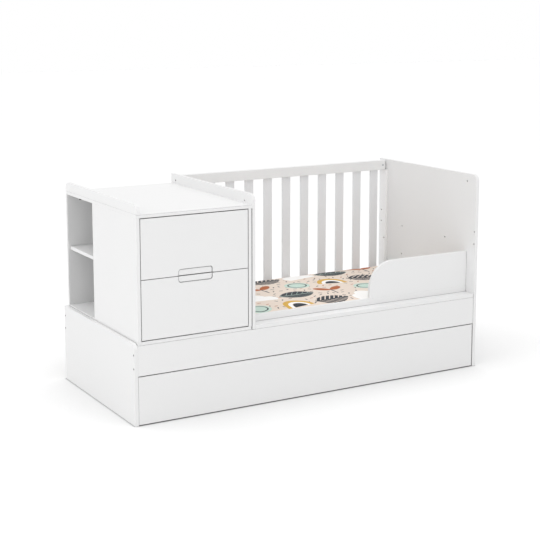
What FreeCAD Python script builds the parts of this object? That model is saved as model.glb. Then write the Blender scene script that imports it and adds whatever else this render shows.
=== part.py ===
import FreeCAD, Part
import math
import os
import re
import Sketcher

# A convertible crib: a low bed base with a tall headboard, a chest of drawers standing on its left end,
# a crib with a slatted back on its right end and a pull-out trundle on wheels underneath.
# Frame: millimetres, origin on the floor in the middle of the footprint, +X to the headboard, +Y to the
# back, +Z up. The front faces -Y.

# Driving sizes
SIZES = {
    # The whole piece
    "overall_length": 1940,
    "overall_depth": 860,
    "overall_height": 1010,
    "panel": 18,
    "corner_round": 30,
    # Bed base
    "left_panel_height": 380,
    "rail_bottom": 230,
    "rail_height": 140,
    "side_rail_height": 32,
    "guard_setback": 66,
    "guard_length": 610,
    "guard_height": 183,
    "guard_round": 140,
    "joint_groove": 0.9,
    "joint_groove_depth": 4,
    "end_groove": 2,
    "seam": 0.5,
    "cleat_height": 22,
    "cleat_depth": 30,
    "base_slat_width": 70,
    "base_slat_end_clearance": 2,
    # Back railing
    "railing_setback": 32,
    "railing_depth": 36,
    "railing_top_drop": 6,
    "railing_rail_height": 52,
    "slat_width": 51,
    "slat_thickness": 10,
    "rail_rebate": 12,
    "stile_thickness": 13,
    "stile_depth": 60,
    "stile_lead": 12,
    "head_slat_gap": 39,
    "foot_slat_gap": 32,
    # Mattress
    "mattress_thickness": 136,
    "mattress_crown": 3,
    "mattress_side_clearance": 4,
    "mattress_corner": 45,
    "mattress_edge_inset": 8,
    # Chest of drawers
    "dresser_width": 579,
    "dresser_gap": 2,
    "foot_gap": 4,
    "dresser_setback": 8,
    "dresser_floor_setback": 3,
    "board": 16,
    "dresser_drop": 49,
    "lip_height": 45,
    "niche_start": 509,
    "shelf_rise": 297,
    "shelf_setback": 11,
    "shelf_clearance": 1,
    "shelf_pin_radius": 2.5,
    "shelf_pin_length": 12,
    "shelf_pin_inset": 40,
    "fitting_radius": 5,
    "fitting_height": 6,
    # Drawers
    "front_reveal": 3,
    "front_right_reveal": 3.5,
    "front_gap": 3,
    "front_top_gap": 4,
    "front_floor_gap": 5,
    "recess_width": 174,
    "recess_height": 30,
    "recess_depth": 4.5,
    "recess_round": 14,
    "recess_ring": 3.5,
    "recess_ring_depth": 9,
    "slot_width": 188,
    "slot_height": 0.75,
    "drawer_board": 12,
    "drawer_bottom_sheet": 5,
    "drawer_back_room": 29,
    "drawer_box_lift": 22,
    "drawer_headroom": 64,
    # Telescopic runners
    "runner_space": 13,
    "runner_height": 45,
    "runner_lift": 60,
    "runner_wall": 1.5,
    "runner_play": 0.5,
    "runner_lap": 8,
    # Trundle
    "trundle_floor_gap": 4,
    "trundle_top_gap": 4.5,
    "trundle_left_gap": 1,
    "trundle_head_gap": 6,
    "trundle_front_overlap": 23,
    "trundle_back_room": 62,
    "trundle_wall_height": 120,
    "trundle_bottom_board": 12,
    "wheel_radius": 24,
    "wheel_width": 18,
    "wheel_hub_radius": 10,
    "wheel_hub_width": 22,
    "axle_radius": 4,
    "axle_fit": 0.05,
    "fork_wall": 3,
    "fork_play": 1,
    "fork_height": 56,
    "fork_plate_length": 60,
    "fork_plate_width": 50,
    "fork_cheek_width": 24,
    "fork_cheek_drop": 10,
    "wheel_end_inset": 130,
    "wheel_front_inset": 90,
    "wheel_back_inset": 110,
    # Bolts and pilot holes
    "bolt_radius": 3,
    "bolt_fit": 0.1,
    "bolt_head_radius": 5,
    "bolt_head_height": 3,
    "bolt_sink": 2,
    "bolt_socket_radius": 2.5,
    "bolt_socket_depth": 5,
    "bolt_bite": 46,
    "nut_radius": 5,
    "nut_inset": 26,
    "nut_skin": 3,
    "bolt_rise": 34,
    "bolt_pitch": 64,
    "pilot_radius": 4.5,
    "upper_hole_height": 649,
    "stile_hole_height": 654,
    "stile_hole_inset": 41,
    "stile_low_hole_height": 560,
    "stile_low_hole_inset": 13,
    "gate_hole_drop": 39,
    "low_hole_height": 490,
    "middle_hole_depth": 252,
    "back_hole_depth": 638,
}

# Counts
BACK_SLATS = 11
BASE_SLATS = 15
WHEEL_COLUMNS = 3

doc = FreeCAD.newDocument("ConvertibleCrib")
sheet = doc.addObject("Spreadsheet::Sheet", "Sizes")
for row, (alias, number) in enumerate(SIZES.items(), 1):
    sheet.set(f"A{row}", alias)
    sheet.set(f"B{row}", str(number))
    sheet.setAlias(f"B{row}", alias)
doc.recompute()

nodes = {}


# Helpers that turn sizes into bound features
def named(text):
    """Write an expression of size names as one the sheet can answer."""
    words = "|".join(SIZES)
    return re.sub(rf"\b({words})\b", r"Sizes.\1", text)


def value(text):
    """The present number of an expression of size names."""
    return float(sheet.evalExpression(named(text)))


def bind(item, **sizes):
    """Tie properties of an item to expressions of size names."""
    for prop, text in sizes.items():
        item.setExpression(prop.replace("__", "."), named(text))


def place(item, corner):
    """Tie the position of an item to three expressions."""
    bind(item, Placement__Base__x=corner[0], Placement__Base__y=corner[1], Placement__Base__z=corner[2])


def block(label, size, corner):
    """A box of three sizes with its lowest corner at the given place."""
    item = doc.addObject("Part::Box", label)
    bind(item, Length=size[0], Width=size[1], Height=size[2])
    place(item, corner)
    return item


def rod(label, axis, radius, length, start):
    """A cylinder that runs from start along +X, +Y or +Z."""
    turns = {
        "X": FreeCAD.Rotation(FreeCAD.Vector(0, 1, 0), 90),
        "Y": FreeCAD.Rotation(FreeCAD.Vector(1, 0, 0), -90),
        "Z": FreeCAD.Rotation(),
    }
    item = doc.addObject("Part::Cylinder", label)
    item.Placement = FreeCAD.Placement(FreeCAD.Vector(), turns[axis])
    bind(item, Radius=radius, Height=length)
    place(item, start)
    return item


def fuse(label, items):
    """Several touching solids as one."""
    item = doc.addObject("Part::MultiFuse", label)
    item.Shapes = items
    return item


def group(label, items):
    """Several separate solids under one name."""
    item = doc.addObject("Part::Compound", label)
    item.Links = items
    return item


def cut(label, base, tools):
    """A solid with the tools taken out of it."""
    item = doc.addObject("Part::Cut", label)
    item.Base = base
    item.Tool = tools[0] if len(tools) == 1 else group(f"{label}_tools", tools)
    return item


def keep(label, item):
    """Name a finished piece so that it is written out."""
    item.Label = label
    nodes[label] = item


def sketch_on(body, label, plane):
    """A sketch on an origin plane of its own body."""
    sketch = body.newObject("Sketcher::SketchObject", label)
    support = next(feature for feature in body.Origin.OriginFeatures if feature.Role == f"{plane}_Plane")
    sketch.AttachmentSupport = [(support, "")]
    sketch.MapMode = "FlatFace"
    return sketch


def corner_panel(label, plane, wide, tall, thick, radius, corner):
    """A panel in an upright plane with its upper corner on the low side rounded."""
    body = doc.addObject("PartDesign::Body", label)
    sketch = sketch_on(body, f"{label}_outline", plane)
    width, height, curve = value(wide), value(tall), value(radius)
    point = FreeCAD.Vector
    centre = point(curve, height - curve, 0)
    circle = Part.Circle(centre, point(0, 0, 1), curve)
    bottom = sketch.addGeometry(Part.LineSegment(point(0, 0, 0), point(width, 0, 0)))
    far = sketch.addGeometry(Part.LineSegment(point(width, 0, 0), point(width, height, 0)))
    top = sketch.addGeometry(Part.LineSegment(point(width, height, 0), point(curve, height, 0)))
    arc = sketch.addGeometry(Part.ArcOfCircle(circle, math.pi / 2, math.pi))
    near = sketch.addGeometry(Part.LineSegment(point(0, height - curve, 0), point(0, 0, 0)))
    origin = -1
    first, last = 1, 2
    sketch.addConstraint([
        Sketcher.Constraint("Coincident", bottom, first, origin, first),
        Sketcher.Constraint("Coincident", bottom, last, far, first),
        Sketcher.Constraint("Coincident", far, last, top, first),
        Sketcher.Constraint("Tangent", top, last, arc, first),
        Sketcher.Constraint("Tangent", arc, last, near, first),
        Sketcher.Constraint("Coincident", near, last, bottom, first),
        Sketcher.Constraint("Horizontal", bottom),
        Sketcher.Constraint("Vertical", far),
        Sketcher.Constraint("Horizontal", top),
        Sketcher.Constraint("Vertical", near),
    ])
    driven = [
        (Sketcher.Constraint("DistanceX", bottom, first, bottom, last, width), wide),
        (Sketcher.Constraint("DistanceY", far, first, far, last, height), tall),
        (Sketcher.Constraint("Radius", arc, curve), radius),
    ]
    for constraint, text in driven:
        index = sketch.addConstraint(constraint)
        sketch.setExpression(f"Constraints[{index}]", named(text))
    pad = body.newObject("PartDesign::Pad", f"{label}_pad")
    pad.Profile = sketch
    bind(pad, Length=thick)
    place(body, corner)
    return body


# Places shared by several pieces
left_face = "(-overall_length / 2)"
left_inner = f"({left_face} + panel)"
head_inner = "(overall_length / 2 - panel)"
dresser_left = f"({left_inner} + dresser_gap)"
dresser_right = f"({dresser_left} + dresser_width)"
foot_left = f"({dresser_right} + foot_gap)"
foot_right = f"({foot_left} + board)"
front_face = "(-overall_depth / 2)"
rear_face = "(overall_depth / 2)"
inner_length = "(overall_length - 2 * panel)"
crib_length = f"({head_inner} - {foot_right})"
rail_top = "(rail_bottom + rail_height)"
ledge_top = f"({rail_top} + panel)"
guard_bottom = f"({ledge_top} + side_rail_height)"
guard_front = f"({front_face} + guard_setback)"
rail_back = f"({front_face} + panel)"
back_board_front = f"({rear_face} - panel)"
rail_middle_front = f"({front_face} + panel / 2)"
rail_middle_back = f"({rear_face} - panel / 2)"
railing_front = f"({rear_face} - railing_setback - railing_depth)"
slat_front = f"({railing_front} + (railing_depth - slat_thickness) / 2)"
railing_top = "(overall_height - railing_top_drop)"
railing_under = f"({railing_top} - railing_rail_height)"
bottom_rail_bottom = f"({rail_top} - railing_rail_height)"
cleat_top = "(rail_bottom + cleat_height)"
base_top = f"({cleat_top} + panel)"


# Bolts with their seats
def bolt_rod(label, x_face, along, sunk, radius, length, y, z):
    """A rod along X, sunk below a face; along is 1 or -1, the way it points into the panel."""
    start = f"({x_face} + {sunk})" if along > 0 else f"({x_face} - {sunk} - {length})"
    return rod(label, "X", radius, length, (start, y, z))


def bolt(label, x_face, along, y, z):
    """A bolt sunk below a face, with a driver's socket in its head."""
    head = bolt_rod(f"{label}_head", x_face, along, "bolt_sink", "bolt_head_radius", "bolt_head_height",
                    y, z)
    stem = bolt_rod(f"{label}_stem", x_face, along, "bolt_sink", "bolt_radius", "(panel + bolt_bite)", y, z)
    socket = bolt_rod(f"{label}_socket", x_face, along, "bolt_sink", "bolt_socket_radius",
                      "bolt_socket_depth", y, z)
    return cut(label, fuse(f"{label}_blank", [head, stem]), [socket])


def bolt_seat(label, x_face, along, y, z):
    """The room a bolt needs in what it passes through."""
    mouth = bolt_rod(f"{label}_mouth", x_face, along, "0", "bolt_head_radius + bolt_fit",
                     "(bolt_sink + bolt_head_height)", y, z)
    bore = bolt_rod(f"{label}_bore", x_face, along, "0", "bolt_radius + bolt_fit",
                    "(bolt_sink + panel + bolt_bite)", y, z)
    return fuse(label, [mouth, bore])


def nut(label, x, span, line, z):
    """A barrel nut over a span of Y, its start and length, with the thread of the bolt on line through it."""
    start, length = span
    barrel = rod(f"{label}_barrel", "Y", "nut_radius", length, (x, start, z))
    thread_place = (f"({x} - nut_radius)", line, z)
    thread = rod(f"{label}_thread", "X", "bolt_radius + bolt_fit", "2 * nut_radius", thread_place)
    return cut(label, barrel, [thread])


def nut_seat(label, x, span, z):
    """The cross hole a barrel nut sits in."""
    start, length = span
    return rod(label, "Y", "nut_radius + bolt_fit", length, (x, start, z))


left_nut_x = f"({left_inner} + nut_inset)"
head_nut_x = f"({head_inner} - nut_inset)"
head_face = "(overall_length / 2)"
bolt_heights = ["(rail_bottom + bolt_rise)", "(rail_bottom + bolt_rise + bolt_pitch)"]

# Nuts in boards go in from the side that is out of sight, under a skin of the board
blind_length = "(panel - nut_skin)"
rail_lines = [
    ("front", rail_middle_front, (f"({front_face} + nut_skin)", blind_length)),
    ("back", rail_middle_back, (back_board_front, blind_length)),
]

bolts = []
board_nuts = []
left_panel_seats = []
head_seats = []
front_rail_seats = []
back_board_seats = []
for side, line, nut_span in rail_lines:
    rail_seats = front_rail_seats if side == "front" else back_board_seats
    for level, height in enumerate(bolt_heights):
        tag = f"{side}_{level}"
        for end, face, along, nut_x, panel_seats in (
            ("left", left_face, 1, left_nut_x, left_panel_seats),
            ("head", head_face, -1, head_nut_x, head_seats),
        ):
            bolts.append(bolt(f"bolt_{end}_{tag}", face, along, line, height))
            board_nuts.append(nut(f"nut_{end}_{tag}", nut_x, nut_span, line, height))
            panel_seats.append(bolt_seat(f"panel_seat_{end}_{tag}", face, along, line, height))
            rail_seats.append(bolt_seat(f"rail_seat_{end}_{tag}", face, along, line, height))
            rail_seats.append(nut_seat(f"nut_seat_{end}_{tag}", nut_x, nut_span, height))

# Guard bolts through the headboard, railing bolts through headboard and footboard
guard_line = f"({guard_front} + panel / 2)"
guard_heights = [f"({guard_bottom} + guard_height / 4)", f"({guard_bottom} + 3 * guard_height / 4)"]
guard_span = (f"({guard_front} + nut_skin)", blind_length)
guard_seats = []
for level, height in enumerate(guard_heights):
    bolts.append(bolt(f"guard_bolt_{level}", head_face, -1, guard_line, height))
    board_nuts.append(nut(f"guard_nut_{level}", head_nut_x, guard_span, guard_line, height))
    head_seats.append(bolt_seat(f"guard_head_seat_{level}", head_face, -1, guard_line, height))
    guard_seats.append(bolt_seat(f"guard_seat_{level}", head_face, -1, guard_line, height))
    guard_seats.append(nut_seat(f"guard_nut_seat_{level}", head_nut_x, guard_span, height))
keep("board_nuts", group("board_nuts", board_nuts))

railing_line = f"({railing_front} + railing_depth / 2)"
railing_levels = {
    "top": f"({railing_top} - railing_rail_height / 2)",
    "bottom": f"({bottom_rail_bottom} + railing_rail_height / 2)",
}
railing_span = (railing_front, "railing_depth")
foot_nut_x = f"({foot_right} + nut_inset)"
railing_nuts = []
foot_seats = []
railing_seats = {"top": [], "bottom": []}
for level, height in railing_levels.items():
    for end, face, along, nut_x, panel_seats in (
        ("foot", foot_left, 1, foot_nut_x, foot_seats),
        ("head", head_face, -1, head_nut_x, head_seats),
    ):
        tag = f"{end}_{level}"
        bolts.append(bolt(f"railing_bolt_{tag}", face, along, railing_line, height))
        railing_nuts.append(nut(f"railing_nut_{tag}", nut_x, railing_span, railing_line, height))
        panel_seats.append(bolt_seat(f"railing_panel_seat_{tag}", face, along, railing_line, height))
        seats = railing_seats[level]
        seats.append(bolt_seat(f"railing_seat_{tag}", face, along, railing_line, height))
        seats.append(nut_seat(f"railing_nut_seat_{tag}", nut_x, railing_span, height))
keep("bolts", group("bolts", bolts))
keep("railing_nuts", group("railing_nuts", railing_nuts))

# Pilot holes for other assemblies, through the headboard and the footboard
gate_hole_height = "(overall_height - gate_hole_drop)"
upper_pair = ["upper_hole_height", "(upper_hole_height + bolt_pitch)"]
pilot_places = [(rail_middle_front, height) for height in upper_pair]
pilot_places += [
    (f"({front_face} + middle_hole_depth)", "upper_hole_height"),
    (f"({front_face} + back_hole_depth)", "upper_hole_height"),
    (f"({front_face} + back_hole_depth)", "low_hole_height"),
    (guard_line, gate_hole_height),
]
for index, (depth, height) in enumerate(pilot_places):
    head_seats.append(rod(f"head_pilot_{index}", "X", "pilot_radius", "panel", (head_inner, depth, height)))
gate_hole_place = (foot_left, guard_line, gate_hole_height)
foot_seats.append(rod("foot_pilot", "X", "pilot_radius", "board", gate_hole_place))

# End panels of the base and the footboard between chest and crib
left_blank = corner_panel("left_blank", "YZ", "overall_depth", "left_panel_height", "panel", "corner_round",
                          (left_face, front_face, "0"))
keep("left_end_panel", cut("left_end_panel", left_blank, left_panel_seats))
head_blank = corner_panel("head_blank", "YZ", "overall_depth", "overall_height", "panel", "corner_round",
                          (head_inner, front_face, "0"))
keep("headboard", cut("headboard", head_blank, head_seats))
foot_blank = corner_panel("foot_blank", "YZ", "overall_depth", f"overall_height - {rail_top}", "board",
                          "corner_round", (foot_left, front_face, rail_top))
keep("footboard", cut("footboard", foot_blank, foot_seats))

# Long boards of the base
front_rail_blank = block("front_rail_blank", (inner_length, "panel", "rail_height"),
                         (left_inner, front_face, "rail_bottom"))
rail_groove = block("rail_groove", (inner_length, "joint_groove_depth", "joint_groove"),
                    (left_inner, front_face, f"{rail_top} - joint_groove"))
rail_end_groove = block("rail_end_groove", ("end_groove", "joint_groove_depth", "rail_height"),
                        (f"{head_inner} - end_groove", front_face, "rail_bottom"))
rail_grooves = fuse("rail_grooves", [rail_groove, rail_end_groove])
keep("front_rail", cut("front_rail", front_rail_blank, front_rail_seats + [rail_grooves]))
back_board_blank = block("back_board_blank", (inner_length, "panel", "rail_height"),
                         (left_inner, back_board_front, "rail_bottom"))
keep("back_board", cut("back_board", back_board_blank, back_board_seats))
ledge_blank = block("ledge_blank", (crib_length, "guard_setback + panel", "panel"),
                    (foot_right, front_face, rail_top))
ledge_end_groove = block("ledge_end_groove", ("end_groove", "joint_groove_depth", "panel"),
                         (f"{head_inner} - end_groove", front_face, rail_top))
keep("front_ledge", cut("front_ledge", ledge_blank, [ledge_end_groove]))
side_rail_blank = block("side_rail_blank", (crib_length, "panel", "side_rail_height"),
                        (foot_right, guard_front, ledge_top))
side_rail_groove = block("side_rail_groove", (crib_length, "joint_groove_depth", "joint_groove"),
                         (foot_right, guard_front, ledge_top))
side_rail_end = block("side_rail_end", ("joint_groove", "joint_groove_depth", "side_rail_height"),
                      (f"{head_inner} - joint_groove", guard_front, ledge_top))
side_rail_grooves = fuse("side_rail_grooves", [side_rail_groove, side_rail_end])
keep("bed_side_rail", cut("bed_side_rail", side_rail_blank, [side_rail_grooves]))
keep("front_cleat", block("front_cleat", (inner_length, "cleat_depth", "cleat_height"),
                          (left_inner, rail_back, "rail_bottom")))
keep("back_cleat", block("back_cleat", (inner_length, "cleat_depth", "cleat_height"),
                         (left_inner, f"{back_board_front} - cleat_depth", "rail_bottom")))

base_slat_gap = f"(({inner_length} - {BASE_SLATS} * base_slat_width) / {BASE_SLATS + 1})"
base_slat_length = "(overall_depth - 2 * panel - 2 * base_slat_end_clearance)"
base_slats = []
for index in range(BASE_SLATS):
    start = f"{left_inner} + {base_slat_gap} + {index} * (base_slat_width + {base_slat_gap})"
    base_slats.append(block(f"base_slat_{index}", ("base_slat_width", base_slat_length, "panel"),
                            (start, f"{rail_back} + base_slat_end_clearance", cleat_top)))
keep("base_slats", group("base_slats", base_slats))

# Guard at the front of the crib, standing on the side rail against the headboard
guard_blank = corner_panel("guard_blank", "XZ", "guard_length", "guard_height", "panel", "guard_round",
                           (f"{head_inner} - guard_length", f"{guard_front} + panel", guard_bottom))
guard_groove = block("guard_groove", ("joint_groove", "joint_groove_depth", "guard_height"),
                     (f"{head_inner} - joint_groove", guard_front, guard_bottom))
keep("guard_panel", cut("guard_panel", guard_blank, guard_seats + [guard_groove]))

# Back railing of the crib
top_rail_blank = block("top_rail_blank", (crib_length, "railing_depth", "railing_rail_height"),
                       (foot_right, railing_front, railing_under))
end_rebate = block("end_rebate", ("stile_thickness", "rail_rebate", "railing_rail_height"),
                   (f"{head_inner} - stile_thickness", railing_front, railing_under))
keep("railing_top_rail", cut("railing_top_rail", top_rail_blank, railing_seats["top"] + [end_rebate]))
bottom_rail_blank = block("bottom_rail_blank", (crib_length, "railing_depth", "railing_rail_height"),
                          (foot_right, railing_front, bottom_rail_bottom))
keep("railing_bottom_rail", cut("railing_bottom_rail", bottom_rail_blank, railing_seats["bottom"]))

slat_height = f"({railing_under} - {rail_top})"
first_slat = f"({foot_right} + stile_thickness + foot_slat_gap)"
last_slat = f"({head_inner} - stile_thickness - head_slat_gap - slat_width)"
slat_pitch = f"(({last_slat} - {first_slat}) / {BACK_SLATS - 1})"
railing_slats = []
for index in range(BACK_SLATS):
    railing_slats.append(block(f"railing_slat_{index}", ("slat_width", "slat_thickness", slat_height),
                               (f"{first_slat} + {index} * {slat_pitch}", slat_front, rail_top)))
keep("railing_slats", group("railing_slats", railing_slats))

# Stiles on the faces of the headboard and the footboard; the one that shows has pilot holes
stile_size = ("stile_thickness", "stile_depth", slat_height)
stile_front = f"({railing_front} - stile_lead)"
stile_left = f"({head_inner} - stile_thickness)"
head_stile_blank = block("head_stile_blank", stile_size, (stile_left, stile_front, rail_top))
stile_hole_places = [
    ("stile_hole_inset", "stile_hole_height"),
    ("stile_hole_inset", "(stile_hole_height + bolt_pitch)"),
    ("stile_low_hole_inset", "stile_low_hole_height"),
]
stile_holes = []
for index, (inset, height) in enumerate(stile_hole_places):
    stile_holes.append(rod(f"stile_hole_{index}", "X", "pilot_radius", "stile_thickness",
                           (stile_left, f"{stile_front} + {inset}", height)))
keep("railing_head_stile", cut("railing_head_stile", head_stile_blank, stile_holes))
keep("railing_foot_stile", block("railing_foot_stile", stile_size, (foot_right, stile_front, rail_top)))


# Mattress, a soft pad with drawn-in sides and a crowned top
def pad_outline(inset, height):
    """A rectangle with round corners around the middle of the pad."""
    half_length = value(f"{crib_length} / 2 - mattress_side_clearance") - inset
    half_depth = value(f"({railing_front} - {guard_front} - panel) / 2 - mattress_side_clearance") - inset
    curve = value("mattress_corner")
    slant = curve * (1 - math.sqrt(1 / 2))
    point = FreeCAD.Vector
    edges = []
    corners = [(1, 1), (-1, 1), (-1, -1), (1, -1)]
    ends = []
    for sign_x, sign_y in corners:
        beside = point(sign_x * half_length, sign_y * (half_depth - curve), height)
        above = point(sign_x * (half_length - curve), sign_y * half_depth, height)
        middle = point(sign_x * (half_length - slant), sign_y * (half_depth - slant), height)
        turn = (beside, middle, above) if sign_x == sign_y else (above, middle, beside)
        ends.append(turn)
    for index, turn in enumerate(ends):
        following = ends[(index + 1) % len(ends)]
        edges.append(Part.Arc(*turn).toShape())
        edges.append(Part.LineSegment(turn[-1], following[0]).toShape())
    return Part.Wire(edges)


# Each layer: share of the edge inset, share of the thickness, share of the crown
layer_shares = [
    (1, 0, 0),
    (1 / 4, 1 / 6, 0),
    (0, 1 / 2, 0),
    (1 / 4, 5 / 6, 0),
    (1, 1, 0),
    (6, 1, 2 / 3),
    (14, 1, 1),
]
layers = []
for inset_share, thickness_share, crown_share in layer_shares:
    layer_inset = inset_share * value("mattress_edge_inset")
    layer_height = thickness_share * value("mattress_thickness") + crown_share * value("mattress_crown")
    layers.append(pad_outline(layer_inset, layer_height))
mattress = doc.addObject("Part::Feature", "mattress")
mattress.Shape = Part.makeLoft(layers, True, True)
crib_middle = f"({foot_right} + {head_inner}) / 2"
place(mattress, (crib_middle, f"({guard_front} + panel + {railing_front}) / 2", base_top))
keep("mattress", mattress)

# Chest of drawers standing on the left end of the base
dresser_depth = "(overall_depth - dresser_setback)"
dresser_top = "(overall_height - dresser_drop)"
top_under = f"({dresser_top} - board)"
floor_top = f"({rail_top} + board)"
carcass_height = f"({top_under} - {floor_top})"
carcass_left = f"({dresser_left} + board)"
carcass_right = f"({dresser_right} - board)"
carcass_width = f"({carcass_right} - {carcass_left})"
niche_front = f"({front_face} + niche_start)"
niche_back = f"({front_face} + {dresser_depth} - board)"
niche_depth = f"({niche_back} - {niche_front})"
floor_size = ("dresser_width", f"{dresser_depth} - dresser_floor_setback", "board")
floor_corner = (dresser_left, f"{front_face} + dresser_floor_setback", rail_top)
keep("dresser_floor", block("dresser_floor", floor_size, floor_corner))
top_length = "(dresser_width + foot_gap)"
top_blank = block("top_blank", (top_length, dresser_depth, "board"), (dresser_left, front_face, top_under))
top_seam = block("top_seam", (top_length, "joint_groove_depth", "seam"),
                 (dresser_left, front_face, f"{dresser_top} - 3 * seam"))
keep("dresser_top", cut("dresser_top", top_blank, [top_seam]))
keep("dresser_left_side", block("dresser_left_side", ("board", "niche_start", carcass_height),
                                (dresser_left, front_face, floor_top)))
right_side_size = ("board", f"{dresser_depth} - board", carcass_height)
right_side_corner = (carcass_right, front_face, floor_top)
keep("dresser_right_side", block("dresser_right_side", right_side_size, right_side_corner))
keep("dresser_partition", block("dresser_partition", (carcass_width, "board", carcass_height),
                                (carcass_left, f"{niche_front} - board", floor_top)))
keep("dresser_back", block("dresser_back", ("dresser_width", "board", carcass_height),
                           (dresser_left, niche_back, floor_top)))

# Lip along the left edge of the top, round at both ends, with a seam under it
lip_blank = corner_panel("lip_blank", "YZ", dresser_depth, "lip_height", "board", "corner_round",
                         (dresser_left, front_face, dresser_top))
lip_turn = (dresser_left, f"{front_face} + {dresser_depth} - corner_round",
            f"{dresser_top} + lip_height - corner_round")
lip_corner = block("lip_corner", ("board", "corner_round", "corner_round"), lip_turn)
lip_round = rod("lip_round", "X", "corner_round", "board", lip_turn)
lip_waste = cut("lip_waste", lip_corner, [lip_round])
lip_seam = block("lip_seam", ("joint_groove_depth", dresser_depth, "seam"),
                 (dresser_left, front_face, dresser_top))
keep("dresser_lip", cut("dresser_lip", lip_blank, [lip_waste, lip_seam]))

# Niche shelf on pins
shelf_bottom = f"({floor_top} + shelf_rise - board)"
shelf_length = "(dresser_width - board - shelf_clearance - shelf_setback)"
shelf_size = (shelf_length, f"{niche_depth} - 2 * shelf_clearance", "board")
shelf_corner = (f"{dresser_left} + shelf_setback", f"{niche_front} + shelf_clearance", shelf_bottom)
keep("niche_shelf", block("niche_shelf", shelf_size, shelf_corner))
pin_height = f"({shelf_bottom} - shelf_pin_radius)"
shelf_pins = []
pin_places = (f"({dresser_left} + shelf_pin_inset)", f"({carcass_right} - shelf_pin_inset)")
for index, pin_x in enumerate(pin_places):
    shelf_pins.append(rod(f"front_pin_{index}", "Y", "shelf_pin_radius", "shelf_pin_length",
                          (pin_x, niche_front, pin_height)))
    shelf_pins.append(rod(f"back_pin_{index}", "Y", "shelf_pin_radius", "shelf_pin_length",
                          (pin_x, f"{niche_back} - shelf_pin_length", pin_height)))
keep("shelf_pins", group("shelf_pins", shelf_pins))
keep("niche_fitting", rod("niche_fitting", "Z", "fitting_radius", "fitting_height",
                          (f"{dresser_left} + fitting_radius", f"{niche_front} + {niche_depth} / 2",
                           f"{top_under} - fitting_height")))

# Drawers
front_width = f"({carcass_width} - front_reveal - front_right_reveal)"
front_height = f"(({carcass_height} - front_floor_gap - front_gap - front_top_gap) / 2)"
front_left = f"({carcass_left} + front_reveal)"
drawer_bottoms = {
    "lower": f"({floor_top} + front_floor_gap)",
    "upper": f"({floor_top} + front_floor_gap + {front_height} + front_gap)",
}
box_left = f"({carcass_left} + runner_space)"
box_width = f"({carcass_width} - 2 * runner_space)"
box_front = f"({front_face} + board)"
box_length = "(niche_start - 2 * board - drawer_back_room)"
wall_length = f"({box_length} - drawer_board)"
wall_height = f"({front_height} - drawer_box_lift - drawer_headroom - drawer_bottom_sheet)"
recess_middle = f"({front_left} + {front_width} / 2)"


def half_pocket(label, rise, edge, inset, start, depth):
    """Half of a round-cornered pocket at the edge between the fronts, made smaller all round by inset."""
    wide = f"(recess_width - 2 * {inset})"
    tall = f"(recess_height - {inset})"
    curve = f"(recess_round - {inset})"
    left = f"({recess_middle} - {wide} / 2)"
    low = edge if rise > 0 else f"({edge} - {tall})"
    straight_low = edge if rise > 0 else f"({edge} - {tall} + {curve})"
    round_height = f"({edge} + {tall} - {curve})" if rise > 0 else straight_low
    tools = [
        block(f"{label}_wide", (wide, depth, f"{tall} - {curve}"), (left, start, straight_low)),
        block(f"{label}_tall", (f"{wide} - 2 * {curve}", depth, tall), (f"{left} + {curve}", start, low)),
    ]
    for index, round_x in enumerate((f"{left} + {curve}", f"{left} + {wide} - {curve}")):
        tools.append(rod(f"{label}_round_{index}", "Y", curve, depth, (round_x, start, round_height)))
    return fuse(label, tools)


def finger_recess(name, bottom):
    """The half recess with a deeper ring along its rim, and the thin slot at the edge between the fronts."""
    rise = 1 if name == "upper" else -1
    edge = bottom if rise > 0 else f"({bottom} + {front_height})"
    slot_low = edge if rise > 0 else f"{edge} - slot_height"
    pocket = half_pocket(f"{name}_pocket", rise, edge, "0", front_face, "recess_ring_depth")
    island = half_pocket(f"{name}_island", rise, edge, "recess_ring", f"({front_face} + recess_depth)",
                         "(recess_ring_depth - recess_depth)")
    slot = block(f"{name}_slot", ("slot_width", "board", "slot_height"),
                 (f"{recess_middle} - slot_width / 2", front_face, slot_low))
    return fuse(f"{name}_recess", [cut(f"{name}_ringed_pocket", pocket, [island]), slot])


for name, bottom in drawer_bottoms.items():
    front_size = (front_width, "board", front_height)
    blank = block(f"{name}_front_blank", front_size, (front_left, front_face, bottom))
    keep(f"{name}_drawer_front", cut(f"{name}_drawer_front", blank, [finger_recess(name, bottom)]))
    box_bottom = f"({bottom} + drawer_box_lift)"
    wall_bottom = f"({box_bottom} + drawer_bottom_sheet)"
    keep(f"{name}_drawer_bottom",
         block(f"{name}_drawer_bottom", (box_width, box_length, "drawer_bottom_sheet"),
               (box_left, box_front, box_bottom)))
    keep(f"{name}_drawer_left_side",
         block(f"{name}_drawer_left_side", ("drawer_board", box_length, wall_height),
               (box_left, box_front, wall_bottom)))
    keep(f"{name}_drawer_right_side",
         block(f"{name}_drawer_right_side", ("drawer_board", box_length, wall_height),
               (f"{box_left} + {box_width} - drawer_board", box_front, wall_bottom)))
    keep(f"{name}_drawer_back",
         block(f"{name}_drawer_back", (f"{box_width} - 2 * drawer_board", "drawer_board", wall_height),
               (f"{box_left} + drawer_board", f"{box_front} + {wall_length}", wall_bottom)))


# Telescopic runners: an outer channel on the chest, a middle channel, an inner bar on the drawer
def channel(label, near_x, hand, depth, height, y, z):
    """A channel with its web at near_x and its open side towards hand, 1 for +X or -1 for -X."""
    start = near_x if hand > 0 else f"({near_x} - {depth})"
    hollow_start = f"({near_x} + runner_wall)" if hand > 0 else start
    outside = block(f"{label}_outside", (depth, box_length, height), (start, y, z))
    hollow_size = (f"{depth} - runner_wall", box_length, f"{height} - 2 * runner_wall")
    hollow = block(f"{label}_hollow", hollow_size, (hollow_start, y, f"{z} + runner_wall"))
    return cut(label, outside, [hollow])


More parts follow.
